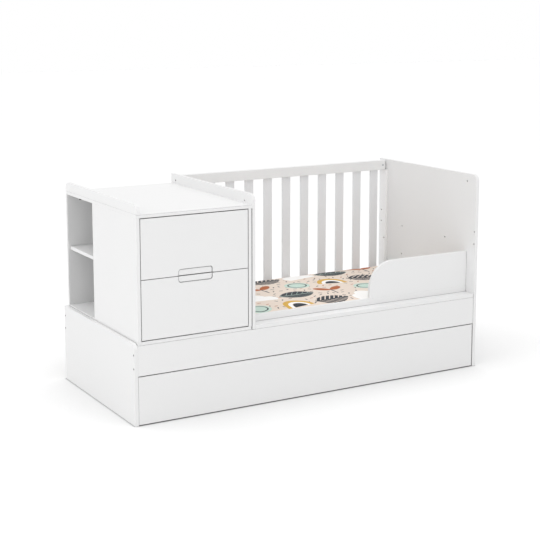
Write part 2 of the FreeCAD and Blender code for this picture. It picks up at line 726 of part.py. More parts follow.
outer_depth = "(runner_wall + runner_play + runner_lap)"
middle_depth = "runner_lap"
middle_height = "(runner_height - 2 * runner_wall - 2 * runner_play)"
inner_height = f"({middle_height} - 2 * runner_wall - 2 * runner_play)"
inner_depth = "(runner_space - 2 * runner_wall - 2 * runner_play)"
outer_runners = []
for name, bottom in drawer_bottoms.items():
    runner_bottom = f"({bottom} + runner_lift)"
    middle_runners = []
    inner_runners = []
    for hand, wall in ((1, carcass_left), (-1, carcass_right)):
        side = "left" if hand > 0 else "right"
        step = "+" if hand > 0 else "-"
        tag = f"{name}_{side}"
        outer_runners.append(channel(f"{tag}_outer", wall, hand, outer_depth, "runner_height",
                                     box_front, runner_bottom))
        middle_x = f"({wall} {step} (runner_wall + runner_play))"
        middle_runners.append(channel(f"{tag}_middle", middle_x, hand, middle_depth, middle_height, box_front,
                                      f"{runner_bottom} + runner_wall + runner_play"))
        inner_start = f"({wall} + runner_space - {inner_depth})" if hand > 0 else f"({wall} - runner_space)"
        inner_bottom = f"{runner_bottom} + 2 * (runner_wall + runner_play)"
        inner_runners.append(block(f"{tag}_inner", (inner_depth, box_length, inner_height),
                                   (inner_start, box_front, inner_bottom)))
    keep(f"{name}_runner_middles", group(f"{name}_runner_middles", middle_runners))
    keep(f"{name}_runner_inners", group(f"{name}_runner_inners", inner_runners))
keep("runner_outers", group("runner_outers", outer_runners))

# Trundle on wheels under the base
trundle_left = f"({left_inner} + trundle_left_gap)"
trundle_width = f"({inner_length} - trundle_left_gap - trundle_head_gap)"
trundle_front_height = "(rail_bottom - trundle_top_gap - trundle_floor_gap)"
tray_left = f"({trundle_left} + trundle_front_overlap)"
tray_width = f"({trundle_width} - 2 * trundle_front_overlap)"
tray_front = f"({front_face} + panel)"
tray_depth = "(overall_depth - panel - trundle_back_room)"
wall_base = "(fork_height + trundle_bottom_board)"
keep("trundle_front", block("trundle_front", (trundle_width, "panel", trundle_front_height),
                            (trundle_left, front_face, "trundle_floor_gap")))
keep("trundle_bottom", block("trundle_bottom", (tray_width, tray_depth, "trundle_bottom_board"),
                             (tray_left, tray_front, "fork_height")))
keep("trundle_left_side", block("trundle_left_side", ("panel", tray_depth, "trundle_wall_height"),
                                (tray_left, tray_front, wall_base)))
keep("trundle_right_side", block("trundle_right_side", ("panel", tray_depth, "trundle_wall_height"),
                                 (f"{tray_left} + {tray_width} - panel", tray_front, wall_base)))
keep("trundle_back", block("trundle_back", (f"{tray_width} - 2 * panel", "panel", "trundle_wall_height"),
                           (f"{tray_left} + panel", f"{tray_front} + {tray_depth} - panel", wall_base)))

# Wheels in fixed forks
fork_inside = "(wheel_hub_width + 2 * fork_play)"
axle_length = f"({fork_inside} + 2 * fork_wall)"
wheel_span = f"({tray_width} - 2 * wheel_end_inset)"
wheel_lines = {
    "front": f"({tray_front} + wheel_front_inset)",
    "back": f"({tray_front} + {tray_depth} - wheel_back_inset)",
}
cheek_bottom = "(wheel_radius - fork_cheek_drop)"
cheek_size = ("fork_wall", "fork_cheek_width", f"fork_height - {cheek_bottom}")
axles = []
for line, wheel_y in wheel_lines.items():
    forks = []
    for column in range(WHEEL_COLUMNS):
        tag = f"{line}_{column}"
        wheel_x = f"({tray_left} + wheel_end_inset + {wheel_span} * {column} / {WHEEL_COLUMNS - 1})"
        fork_parts = [block(f"fork_plate_{tag}", ("fork_plate_width", "fork_plate_length", "fork_wall"),
                            (f"{wheel_x} - fork_plate_width / 2", f"{wheel_y} - fork_plate_length / 2",
                             "fork_height - fork_wall"))]
        for side, cheek_x in (("left", f"{wheel_x} - {axle_length} / 2"),
                              ("right", f"{wheel_x} + {fork_inside} / 2")):
            cheek_corner = (cheek_x, f"{wheel_y} - fork_cheek_width / 2", cheek_bottom)
            fork_parts.append(block(f"fork_cheek_{side}_{tag}", cheek_size, cheek_corner))
        axle_start = (f"{wheel_x} - {axle_length} / 2", wheel_y, "wheel_radius")
        axle_hole = rod(f"axle_hole_{tag}", "X", "axle_radius", axle_length, axle_start)
        forks.append(cut(f"fork_{tag}", fuse(f"fork_blank_{tag}", fork_parts), [axle_hole]))
        axles.append(rod(f"axle_{tag}", "X", "axle_radius", axle_length, axle_start))
        tread = rod(f"tread_{tag}", "X", "wheel_radius", "wheel_width",
                    (f"{wheel_x} - wheel_width / 2", wheel_y, "wheel_radius"))
        hub_start = (f"{wheel_x} - wheel_hub_width / 2", wheel_y, "wheel_radius")
        hub = rod(f"hub_{tag}", "X", "wheel_hub_radius", "wheel_hub_width", hub_start)
        bore = rod(f"bore_{tag}", "X", "axle_radius + axle_fit", "wheel_hub_width", hub_start)
        wheel = cut(f"wheel_{tag}", fuse(f"wheel_blank_{tag}", [tread, hub]), [bore])
        keep(f"trundle_wheel_{tag}", wheel)
    keep(f"trundle_{line}_forks", group(f"trundle_{line}_forks", forks))
keep("trundle_axles", group("trundle_axles", axles))

# Check every piece and write it out
doc.recompute()
os.makedirs("parts", exist_ok=True)
failed = [item.Label for item in doc.Objects if "Invalid" in item.State or "Error" in item.State]
failed += [label for label, item in nodes.items() if item.Shape.isNull() or not item.Shape.isValid()]
if failed:
    raise RuntimeError(f"did not build: {failed}")
for label, item in nodes.items():
    item.Shape.exportStep(f"parts/{label}.step")
print(len(nodes), "pieces written")
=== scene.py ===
import logging
import math
from dataclasses import dataclass, field
from enum import Enum

import bmesh
import bpy
import numpy as np
from mathutils import Matrix, Vector


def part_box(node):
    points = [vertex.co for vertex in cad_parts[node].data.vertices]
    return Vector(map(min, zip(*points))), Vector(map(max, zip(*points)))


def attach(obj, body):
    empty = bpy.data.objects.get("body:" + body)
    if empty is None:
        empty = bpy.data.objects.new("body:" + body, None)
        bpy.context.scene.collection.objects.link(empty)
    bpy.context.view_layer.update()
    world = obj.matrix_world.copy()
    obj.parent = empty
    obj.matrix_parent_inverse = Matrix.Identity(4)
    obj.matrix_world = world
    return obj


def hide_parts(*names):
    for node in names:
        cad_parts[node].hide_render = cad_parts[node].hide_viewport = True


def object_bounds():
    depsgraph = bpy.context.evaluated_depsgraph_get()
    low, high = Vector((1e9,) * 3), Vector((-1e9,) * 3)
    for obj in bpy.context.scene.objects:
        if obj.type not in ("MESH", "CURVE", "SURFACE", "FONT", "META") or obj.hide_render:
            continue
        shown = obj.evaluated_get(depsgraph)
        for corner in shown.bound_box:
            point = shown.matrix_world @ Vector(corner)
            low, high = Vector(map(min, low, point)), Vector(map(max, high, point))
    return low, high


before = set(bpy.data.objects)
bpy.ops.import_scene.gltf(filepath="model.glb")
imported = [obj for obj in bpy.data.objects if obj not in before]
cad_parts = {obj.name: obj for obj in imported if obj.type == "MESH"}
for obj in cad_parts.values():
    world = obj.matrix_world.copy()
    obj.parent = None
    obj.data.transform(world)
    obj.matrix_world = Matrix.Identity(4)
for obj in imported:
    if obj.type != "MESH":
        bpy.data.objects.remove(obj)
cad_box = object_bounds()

# The convertible crib as it looks: lacquered boards with eased edges, a pine base, steel fittings, castors,
# a mattress in a printed cotton cover, and a bright studio. Metres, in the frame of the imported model:
# +X to the headboard, +Y to the back, +Z up.

LOG = logging.getLogger("convertible_crib")
IMAGE_SIDE = 540
SENSOR_WIDTH_MM = 36.0
OPENNESS_SAMPLES = 8
# The phase that a wave texture of scale 1 runs through in a metre, in radians
WAVE_RATE = 20.0
# Points nearer than this are one point
WELD_REACH = 1e-5
# Faces that meet at less than this lie in one plane
FLAT_ANGLE = math.radians(0.5)
# Edges that bend more than this are sharp
SHARP_ANGLE = math.radians(50.0)
# Faces across an eased edge
EDGE_SEGMENTS = 3
# How far the larger faces lead the shading
FACE_WEIGHT = 100
# Keeps a division clear of zero
TINY = 1e-9

Triple = tuple[float, float, float]
Colour = Triple
Span = tuple[float, float]
Socket = bpy.types.NodeSocket
Number = float | Socket
Shapes = list[tuple[Socket, Colour]]


class Axis(Enum):
    """The way a board's grain runs."""

    X = 0
    Y = 1


class Level(Enum):
    """The two drawers of the chest."""

    UPPER = "upper"
    LOWER = "lower"


class NodeGraph:
    """A node tree with short calls that add and join nodes."""

    def __init__(self, tree: bpy.types.NodeTree) -> None:
        """Take hold of a tree.

        Args:
            tree: The node tree of a material or a world.
        """
        self.tree = tree

    def add(self, kind: str, **settings: object) -> bpy.types.Node:
        """Add a node.

        Args:
            kind: The node's type without its ShaderNode prefix.
            **settings: Properties to set on it.

        Returns:
            The new node.
        """
        node = self.tree.nodes.new(f"ShaderNode{kind}")
        for key, setting in settings.items():
            setattr(node, key, setting)
        return node

    def feed(self, socket: Socket, source: object) -> None:
        """Link a socket to an output, or set its own value.

        Args:
            socket: The input.
            source: An output socket, a number or a vector.
        """
        if isinstance(source, bpy.types.NodeSocket):
            self.tree.links.new(source, socket)
        else:
            socket.default_value = source

    def math(self, operation: str, *terms: Number, clamp: bool = False) -> Socket:
        """A Math node.

        Args:
            operation: Blender's name of the operation.
            *terms: Up to three numbers or outputs.
            clamp: Whether the answer is held between 0 and 1.

        Returns:
            The node's output.
        """
        node = self.add("Math", operation=operation, use_clamp=clamp)
        for socket, term in zip(node.inputs, terms):
            self.feed(socket, term)
        return node.outputs[0]

    def split(self, coords: Socket) -> bpy.types.bpy_prop_collection:
        """Three coordinates taken apart.

        Args:
            coords: The coordinates.

        Returns:
            The outputs X, Y and Z.
        """
        node = self.add("SeparateXYZ")
        self.feed(node.inputs[0], coords)
        return node.outputs

    def spread(self, source: Socket, low: Number, high: Number) -> Socket:
        """A strength of 0 to 1 as a value between two others.

        Args:
            source: The strength.
            low: The value at 0.
            high: The value at 1.

        Returns:
            The value.
        """
        node = self.add("MapRange")
        for name, term in (("Value", source), ("To Min", low), ("To Max", high)):
            self.feed(node.inputs[name], term)
        return node.outputs[0]

    def openness(self, reach: float) -> Socket:
        """How open the surroundings of a point are: 1 on a bare face, less in a corner, a gap or a hole.

        Args:
            reach: How far it looks, in metres.

        Returns:
            The openness.
        """
        node = self.add("AmbientOcclusion", samples=OPENNESS_SAMPLES)
        node.inputs["Distance"].default_value = reach
        return node.outputs["AO"]


class NodeSheet(NodeGraph):
    """A material's node tree, with calls for the textures, shapes and colours that a finish is made of."""

    def __init__(self, name: str) -> None:
        """Start a material that holds one principled shader and its output.

        Args:
            name: The material's name.
        """
        self.material = bpy.data.materials.new(name)
        self.material.use_nodes = True
        super().__init__(self.material.node_tree)
        self.shader = self.tree.nodes["Principled BSDF"]

    def vector(self, operation: str, *terms: object) -> Socket:
        """A Vector Math node.

        Args:
            operation: Blender's name of the operation.
            *terms: Vectors or outputs.

        Returns:
            The node's vector output, or its number where the operation gives one.
        """
        node = self.add("VectorMath", operation=operation)
        for socket, term in zip(node.inputs, terms):
            self.feed(socket, term)
        return node.outputs["Value" if operation == "LENGTH" else "Vector"]

    def place(self) -> Socket:
        """The object's own coordinates.

        Returns:
            The coordinates, in metres.
        """
        return self.add("TexCoord").outputs["Object"]

    def join(self, across: Socket, up: Socket) -> Socket:
        """Two numbers as a point in the plane.

        Args:
            across: The first number.
            up: The second number.

        Returns:
            The point.
        """
        node = self.add("CombineXYZ")
        self.feed(node.inputs["X"], across)
        self.feed(node.inputs["Y"], up)
        return node.outputs[0]

    def turn(self, coords: Socket, angle: Number) -> Socket:
        """Coordinates turned about Z.

        Args:
            coords: The coordinates.
            angle: The turn, in radians.

        Returns:
            The turned coordinates.
        """
        node = self.add("VectorRotate", rotation_type="Z_AXIS")
        self.feed(node.inputs["Vector"], coords)
        self.feed(node.inputs["Angle"], angle)
        return node.outputs[0]

    def stretch(self, coords: Socket, scale: Triple) -> Socket:
        """Coordinates multiplied axis by axis.

        Args:
            coords: The coordinates.
            scale: A factor for each axis.

        Returns:
            The stretched coordinates.
        """
        return self.vector("MULTIPLY", coords, scale)

    def noise(self, coords: Socket, scale: float, detail: float = 2.0, warp: float = 0.0) -> Socket:
        """A noise texture between 0 and 1.

        Args:
            coords: Where it is read.
            scale: Features in a metre.
            detail: How many finer layers it has.
            warp: How far it distorts itself.

        Returns:
            Its strength.
        """
        node = self.add("TexNoise")
        self.feed(node.inputs["Vector"], coords)
        node.inputs["Scale"].default_value = scale
        node.inputs["Detail"].default_value = detail
        node.inputs["Distortion"].default_value = warp
        return node.outputs[0]

    def mix(self, share: Number, first: object, second: object) -> Socket:
        """Two colours mixed.

        Args:
            share: The second colour's share.
            first: A colour or an output.
            second: A colour or an output.

        Returns:
            The mixed colour.
        """
        node = self.add("Mix", data_type="RGBA")
        colours = [socket for socket in node.inputs if socket.type == "RGBA"]
        self.feed(node.inputs["Factor"], share)
        for socket, colour in zip(colours, (first, second)):
            self.feed(socket, colour if isinstance(colour, bpy.types.NodeSocket) else (*colour, 1.0))
        return next(socket for socket in node.outputs if socket.type == "RGBA")

    def disc(self, point: Socket, middle: Triple, radius: float) -> Socket:
        """Distance to a disc.

        Args:
            point: Where it is read.
            middle: The disc's middle.
            radius: Its radius.

        Returns:
            The distance, negative inside.
        """
        reach = self.vector("LENGTH", self.vector("SUBTRACT", point, middle))
        return self.math("SUBTRACT", reach, radius)

    def band(self, distance: Socket, middle: float, half_width: float) -> Socket:
        """Distance to a band along a line of equal distance.

        Args:
            distance: The distance that the band follows.
            middle: The distance at the band's middle.
            half_width: Half of its width.

        Returns:
            The distance, negative inside.
        """
        off = self.math("ABSOLUTE", self.math("SUBTRACT", distance, middle))
        return self.math("SUBTRACT", off, half_width)

    def lens(self, point: Socket, half_length: float, half_width: float) -> Socket:
        """Distance to a pointed blade between two arcs.

        Args:
            point: Where it is read.
            half_length: From the middle to a tip.
            half_width: From the middle to an arc.

        Returns:
            The distance, negative inside.
        """
        radius = (half_length ** 2 + half_width ** 2) / (2 * half_width)
        offset = radius - half_width
        above = self.disc(point, (0.0, offset, 0.0), radius)
        below = self.disc(point, (0.0, -offset, 0.0), radius)
        return self.math("MAXIMUM", above, below)

    def bump(self, height: Socket, distance: float, strength: float = 1.0) -> None:
        """Give the shader a bump.

        Args:
            height: The height, 0 to 1.
            distance: What a height of 1 stands for, in metres.
            strength: How strong the bump is.
        """
        node = self.add("Bump")
        self.feed(node.inputs["Height"], height)
        node.inputs["Distance"].default_value = distance
        node.inputs["Strength"].default_value = strength
        self.feed(self.shader.inputs["Normal"], node.outputs["Normal"])

    def shade(self, **inputs: object) -> bpy.types.Material:
        """Set or link the shader's inputs.

        Args:
            **inputs: Values or outputs by the input's name, with underscores for spaces.

        Returns:
            The material.
        """
        for key, source in inputs.items():
            self.feed(self.shader.inputs[key.replace("_", " ")], source)
        return self.material


def from_screen(code: str) -> Colour:
    """A colour written as six hexadecimal digits.

    Args:
        code: The digits as a screen shows them.

    Returns:
        The colour as light.
    """
    # The standard screen curve, undone
    parts = [int(code[start:start + 2], 16) / 255 for start in (0, 2, 4)]
    return tuple(part / 12.92 if part <= 0.04045 else ((part + 0.055) / 1.055) ** 2.4 for part in parts)


@dataclass(frozen=True)
class PaintedBoard:
    """A painted or laminated board: slow shifts of tone, a soft gloss, a fine skin, and painted shade that
    darkens its crevices.
    """

    name: str
    colour: Colour
    shade: Colour
    gloss: Span = (0.40, 0.47)
    skin_scale: float = 900.0
    skin_depth: float = 0.00006
    cloud_scale: float = 2.5
    handled_scale: float = 26.0
    handled_warp: float = 0.4
    specular: float = 0.4
    painted_shade_colour: Colour = (0.16, 0.16, 0.16)
    painted_shade_reach: float = 0.012
    closed_in: float = 0.08
    plain_corner: float = 0.48

    def material(self) -> bpy.types.Material:
        """The finish as nodes.

        Returns:
            The material.
        """
        sheet = NodeSheet(self.name)
        place = sheet.place()
        cloud = sheet.noise(place, self.cloud_scale, detail=3.0)
        handled = sheet.noise(place, self.handled_scale, detail=4.0, warp=self.handled_warp)
        skin = sheet.noise(place, self.skin_scale, detail=1.0)
        sheet.bump(skin, self.skin_depth)
        paint = sheet.mix(cloud, self.colour, self.shade)
        # Painted shade: the colour darkens towards the shade colour where the surroundings close in, in
        # gaps, grooves, holes and corners.
        rise = 1.0 / (self.plain_corner - self.closed_in)
        open_air = sheet.openness(self.painted_shade_reach)
        bare = sheet.math("MULTIPLY_ADD", open_air, rise, -self.closed_in * rise, clamp=True)
        return sheet.shade(
            Base_Color=sheet.mix(bare, self.painted_shade_colour, paint),
            Roughness=sheet.spread(handled, *self.gloss),
            Specular_IOR_Level=self.specular,
        )


@dataclass(frozen=True)
class BarePine:
    """Planed pine: pale wood between darker growth lines that run along the board."""

    name: str
    early: Colour
    late: Colour
    grain: Axis
    line_scale: float = 55.0
    line_floor: float = 0.5
    line_sharpness: float = 3.0
    line_strength: float = 0.6
    run_share: float = 0.05
    sway_scale: float = 9.0
    sway_warp: float = 0.6
    fibre_scale: float = 700.0
    fibre_depth: float = 0.0002
    fibre_strength: float = 0.35
    gloss: Span = (0.5, 0.75)

    def material(self) -> bpy.types.Material:
        """The finish as nodes.

        Returns:
            The material.
        """
        sheet = NodeSheet(self.name)
        scale = [1.0, 1.0, 1.0]
        scale[self.grain.value] = self.run_share
        along = sheet.stretch(sheet.place(), tuple(scale))
        sway = sheet.noise(along, self.sway_scale, detail=3.0, warp=self.sway_warp)
        rings = sheet.math("SINE", sheet.math("MULTIPLY", sway, self.line_scale))
        raised = sheet.spread(rings, self.line_floor, 1.0)
        lines = sheet.math("POWER", raised, self.line_sharpness, clamp=True)
        fibres = sheet.noise(along, self.fibre_scale, detail=2.0)
        wood = sheet.mix(sheet.math("MULTIPLY", lines, self.line_strength), self.early, self.late)
        sheet.bump(fibres, self.fibre_depth)
        return sheet.shade(
            Base_Color=sheet.mix(sheet.math("MULTIPLY", fibres, self.fibre_strength), wood, self.late),
            Roughness=sheet.spread(fibres, *self.gloss),
        )


@dataclass(frozen=True)
class FinishedSteel:
    """Plated or coated steel with a cloudy skin and fine marks."""

    name: str
    colour: Colour
    cloud: Colour
    gloss: Span
    metallic: float
    cloud_scale: float = 160.0
    cloud_warp: float = 1.0
    mark_scale: float = 1800.0
    mark_run: float = 0.04
    mark_depth: float = 0.00003

    def material(self) -> bpy.types.Material:
        """The finish as nodes.

        Returns:
            The material.
        """
        sheet = NodeSheet(self.name)
        place = sheet.place()
        plate = sheet.noise(place, self.cloud_scale, detail=3.0, warp=self.cloud_warp)
        along = sheet.stretch(place, (1.0, self.mark_run, 1.0))
        marks = sheet.noise(along, self.mark_scale, detail=2.0)
        sheet.bump(marks, self.mark_depth)
        return sheet.shade(
            Base_Color=sheet.mix(plate, self.colour, self.cloud),
            Metallic=self.metallic,
            Roughness=sheet.spread(marks, *self.gloss),
        )


@dataclass(frozen=True)
class MouldedTread:
    """Black moulded nylon with a matt pebbled face."""

    name: str
    colour: Colour
    dust: Colour
    scuff_scale: float = 90.0
    scuff_sharpness: float = 3.0
    pebble_scale: float = 1500.0
    pebble_depth: float = 0.00012
    gloss: Span = (0.55, 0.8)

    def material(self) -> bpy.types.Material:
        """The finish as nodes.

        Returns:
            The material.
        """
        sheet = NodeSheet(self.name)
        place = sheet.place()
        scuffs = sheet.noise(place, self.scuff_scale, detail=5.0)
        pebble = sheet.noise(place, self.pebble_scale, detail=1.0)
        sheet.bump(pebble, self.pebble_depth)
        return sheet.shade(
            Base_Color=sheet.mix(sheet.math("POWER", scuffs, self.scuff_sharpness), self.colour, self.dust),
            Roughness=sheet.spread(pebble, *self.gloss),
        )


@dataclass(frozen=True)
class PrintedCotton:
    """Cotton cover with a scattered print of arches, leaves, ferns, sprouts, pebbles and clouds.

    The print lies on a lattice of staggered cells, one motif to a cell, tilted and nudged at random. Small
    ticks fill the ground between the motifs. Lengths are in metres.
    """

    name: str
    ground: Colour
    mustard: Colour
    slate: Colour
    rust: Colour
    mint: Colour
    cloud: Colour
    cell_width: float = 0.214
    cell_height: float = 0.170
    motif_rise: float = 1.34
    row_step: float = 2.0
    nudge: float = 0.012
    tilt: float = 0.6
    ink_edge: float = 0.0012
    thread: float = 0.0011
    weave_depth: float = 0.0002
    weave_strength: float = 0.5
    weave_gloss: Span = (0.92, 0.78)
    specular: float = 0.2
    sheen: float = 0.15
    sheen_spread: float = 0.5
    slub_scale: float = 35.0
    slub_strength: float = 0.10
    tick_cell: float = 0.044
    tick_length: float = 0.010
    tick_width: float = 0.0032
    tick_clearance: float = 0.004
    tick_empty_below: float = 0.30
    tick_rust_above: float = 0.84
    arch_drop: float = 0.030
    arch_bands: tuple[Span, ...] = ((0.071, 0.012), (0.050, 0.009), (0.0195, 0.0195))
    blade_half_length: float = 0.102
    leaf_half_width: float = 0.046
    rib_half_width: float = 0.0014
    vein_step: float = 0.016
    vein_half_width: float = 0.0011
    fern_half_width: float = 0.049
    leaflet_step: float = 0.014
    leaflet_half_width: float = 0.0104
    frond_stem_half_width: float = 0.0040
    petal_lean: float = math.radians(62.0)
    petal_squeeze: float = 0.44
    petal_offset: float = 0.020
    petal_radius: float = 0.0190
    stem_half_width: float = 0.0034
    stem_foot: float = -0.056
    stem_head: float = 0.012
    pebble_squeeze: float = 0.66
    pebble_radius: float = 0.046
    ring_inset: float = 0.013
    ring_half_width: float = 0.0026
    puff_foot: float = -0.030
    puff_rounds: tuple[Triple, ...] = ((-0.056, -0.004, 0.040), (0.0, 0.010, 0.053), (0.060, -0.006, 0.036))

    def cell(self, sheet: NodeSheet, width: float, height: float) -> tuple[Socket, Socket]:
        """The staggered cell that a point lies in.

        Args:
            sheet: The node tree.
            width: A cell's width.
            height: A cell's height.

        Returns:
            The point as seen from the cell's middle, in metres, and the cell's column and row.
        """
        across = sheet.split(sheet.add("UVMap", uv_map=Mattress.MAP_NAME).outputs[0])
        row_place = sheet.math("DIVIDE", across["Y"], height)
        row = sheet.math("FLOOR", row_place)
        stagger = sheet.math("MULTIPLY", sheet.math("FLOORED_MODULO", row, 2.0), 0.5)
        column_place = sheet.math("ADD", sheet.math("DIVIDE", across["X"], width), stagger)
        column = sheet.math("FLOOR", column_place)
        inside = []
        for point, start, side in ((column_place, column, width), (row_place, row, height)):
            step = sheet.math("SUBTRACT", sheet.math("SUBTRACT", point, start), 0.5)
            inside.append(sheet.math("MULTIPLY", step, side))
        return sheet.join(*inside), sheet.join(column, row)

    def scatter(self, sheet: NodeSheet, inside: Socket, number: Socket, nudge: float,
                tilt: float) -> tuple[Socket, Socket]:
        """Tilt and nudge the point by the cell's own random draw.

        Args:
            sheet: The node tree.
            inside: The point seen from the cell's middle.
            number: The cell's column and row.
            nudge: How far a motif may be from the middle, from end to end.
            tilt: How far a motif may be turned, from end to end, in radians.

        Returns:
            The point seen from the motif, and the cell's random number.
        """
        draw = sheet.add("TexWhiteNoise", noise_dimensions="2D")
        sheet.feed(draw.inputs["Vector"], number)
        shift = sheet.vector("SUBTRACT", draw.outputs["Color"], (0.5, 0.5, 0.5))
        shifted = sheet.vector("ADD", inside, sheet.stretch(shift, (nudge, nudge, 0.0)))
        angle = sheet.math("MULTIPLY", sheet.math("SUBTRACT", draw.outputs["Value"], 0.5), tilt)
        return sheet.turn(shifted, angle), draw.outputs["Value"]

    def ink(self, sheet: NodeSheet, distance: Socket) -> Socket:
        """How much ink lies at a distance from a shape's edge.

        Args:
            sheet: The node tree.
            distance: The distance, negative inside.

        Returns:
            1 inside, 0 outside, soft over the edge.
        """
        return sheet.math("MULTIPLY_ADD", distance, -1.0 / self.ink_edge, 0.5, clamp=True)

    def arch(self, sheet: NodeSheet, point: Socket) -> Shapes:
        """Three arcs, one inside the other, over a straight foot.

        Args:
            sheet: The node tree.
            point: The point seen from the motif.

        Returns:
            Each shape's distance and ink, the lowest first.
        """
        raised = sheet.vector("ADD", point, (0.0, self.arch_drop, 0.0))
        reach = sheet.vector("LENGTH", raised)
        foot = sheet.math("MULTIPLY", sheet.split(raised)["Y"], -1.0)
        shapes = []
        for (middle, half_width), ink in zip(self.arch_bands, (self.mustard, self.cloud, self.slate)):
            arc = sheet.band(reach, middle, half_width)
            shapes.append((sheet.math("MAXIMUM", arc, foot), ink))
        return shapes

    def leaf(self, sheet: NodeSheet, point: Socket) -> Shapes:
        """A pointed leaf with a pale rib and pale veins.

        Args:
            sheet: The node tree.
            point: The point seen from the motif.

        Returns:
            Each shape's distance and ink, the lowest first.
        """
        blade = sheet.lens(point, self.blade_half_length, self.leaf_half_width)
        across = sheet.split(point)
        rise = sheet.math("ABSOLUTE", across["Y"])
        rib = sheet.math("SUBTRACT", rise, self.rib_half_width)
        slant = sheet.math("SUBTRACT", across["X"], rise)
        folded = sheet.math("PINGPONG", slant, self.vein_step)
        vein = sheet.band(folded, 0.0, self.vein_half_width)
        pale_lines = sheet.math("MAXIMUM", sheet.math("MINIMUM", rib, vein), blade)
        return [(blade, self.slate), (pale_lines, self.mint)]

    def fern(self, sheet: NodeSheet, point: Socket) -> Shapes:
        """A frond of slanting leaflets along a stem.

        Args:
            sheet: The node tree.
            point: The point seen from the motif.

        Returns:
            Each shape's distance and ink, the lowest first.
        """
        blade = sheet.lens(point, self.blade_half_length, self.fern_half_width)
        across = sheet.split(point)
        rise = sheet.math("ABSOLUTE", across["Y"])
        slant = sheet.math("SUBTRACT", across["X"], rise)
        folded = sheet.math("PINGPONG", slant, self.leaflet_step)
        leaflet = sheet.band(folded, 0.0, self.leaflet_half_width)
        stem = sheet.math("SUBTRACT", rise, self.frond_stem_half_width)
        return [(sheet.math("MAXIMUM", sheet.math("MINIMUM", leaflet, stem), blade), self.slate)]

    def sprout(self, sheet: NodeSheet, point: Socket) -> Shapes:
        """Two seed leaves on a short stem.

        Args:
            sheet: The node tree.
            point: The point seen from the motif.

        Returns:
            Each shape's distance and ink, the lowest first.
        """
        across = sheet.split(point)
        side = sheet.math("ABSOLUTE", across["X"])
        leaning = sheet.turn(sheet.join(side, across["Y"]), self.petal_lean)
        squeezed = sheet.stretch(leaning, (1.0, self.petal_squeeze, 1.0))
        petal = sheet.disc(squeezed, (0.0, self.petal_offset, 0.0), self.petal_radius)
        stem_side = sheet.math("SUBTRACT", side, self.stem_half_width)
        stem_end = sheet.math("SUBTRACT", self.stem_foot, across["Y"])
        stem_top = sheet.math("SUBTRACT", across["Y"], self.stem_head)
        stem = sheet.math("MAXIMUM", stem_side, sheet.math("MAXIMUM", stem_end, stem_top))
        return [(stem, self.slate), (petal, self.rust)]

    def pebble(self, sheet: NodeSheet, point: Socket) -> Shapes:
        """A flat round pebble with a ring drawn inside it.

        Args:
            sheet: The node tree.
            point: The point seen from the motif.

        Returns:
            Each shape's distance and ink, the lowest first.
        """
        squeezed = sheet.stretch(point, (self.pebble_squeeze, 1.0, 1.0))
        stone = sheet.disc(squeezed, (0.0, 0.0, 0.0), self.pebble_radius)
        ring = sheet.band(stone, -self.ring_inset, self.ring_half_width)
        return [(stone, self.mint), (ring, self.slate)]

    def puff(self, sheet: NodeSheet, point: Socket) -> Shapes:
        """A cloud of three rounds on a flat foot.

        Args:
            sheet: The node tree.
            point: The point seen from the motif.

        Returns:
            Each shape's distance and ink, the lowest first.
        """
        body = sheet.math("SUBTRACT", self.puff_foot, sheet.split(point)["Y"])
        rounds = None
        for across, up, radius in self.puff_rounds:
            lobe = sheet.disc(point, (across, up, 0.0), radius)
            rounds = lobe if rounds is None else sheet.math("MINIMUM", rounds, lobe)
        return [(sheet.math("MAXIMUM", body, rounds), self.cloud)]

    def ticks(self, sheet: NodeSheet) -> tuple[Socket, Socket]:
        """Short strokes in a lattice of small cells, some of them left empty.

        Args:
            sheet: The node tree.

        Returns:
            The distance, and a random number for the stroke's ink.
        """
        inside, number = self.cell(sheet, self.tick_cell, self.tick_cell)
        point, draw = self.scatter(sheet, inside, number, self.tick_cell / 2, math.tau)
        across = sheet.split(point)
        along = sheet.math("SUBTRACT", sheet.math("ABSOLUTE", across["X"]), self.tick_length)
        off = sheet.math("SUBTRACT", sheet.math("ABSOLUTE", across["Y"]), self.tick_width)
        empty = sheet.math("LESS_THAN", draw, self.tick_empty_below)
        return sheet.math("ADD", sheet.math("MAXIMUM", along, off), empty), draw

    def printed(self, sheet: NodeSheet) -> Socket:
        """The print's colour.

        Args:
            sheet: The node tree.

        Returns:
            The colour.
        """
        inside, number = self.cell(sheet, self.cell_width, self.cell_height)
        turned, _ = self.scatter(sheet, inside, number, self.nudge, self.tilt)
        point = sheet.stretch(turned, (1.0, 1.0 / self.motif_rise, 1.0))
        motifs = (self.arch, self.fern, self.puff, self.leaf, self.sprout, self.pebble)
        lattice = sheet.split(number)
        order = sheet.math("MULTIPLY_ADD", lattice["Y"], self.row_step, lattice["X"])
        kind = sheet.math("FLOORED_MODULO", order, float(len(motifs)))
        slub = sheet.noise(sheet.place(), self.slub_scale, detail=4.0)
        colour = sheet.mix(sheet.math("MULTIPLY", slub, self.slub_strength), self.ground, self.cloud)
        nearest = None
        inks = []
        for index, motif in enumerate(motifs):
            absent = sheet.math("SUBTRACT", 1.0, sheet.math("COMPARE", kind, float(index), 0.5))
            for distance, ink in motif(sheet, point):
                shown = sheet.math("ADD", distance, absent)
                inks.append((shown, ink))
                nearest = shown if nearest is None else sheet.math("MINIMUM", nearest, shown)
        stroke, draw = self.ticks(sheet)
        clear = sheet.math("SUBTRACT", self.tick_clearance, nearest)
        is_rust = sheet.math("GREATER_THAN", draw, self.tick_rust_above)
        stroke_ink = sheet.mix(is_rust, self.slate, self.rust)
        colour = sheet.mix(self.ink(sheet, sheet.math("MAXIMUM", stroke, clear)), colour, stroke_ink)
        for shown, ink in inks:
            colour = sheet.mix(self.ink(sheet, shown), colour, ink)
        return colour

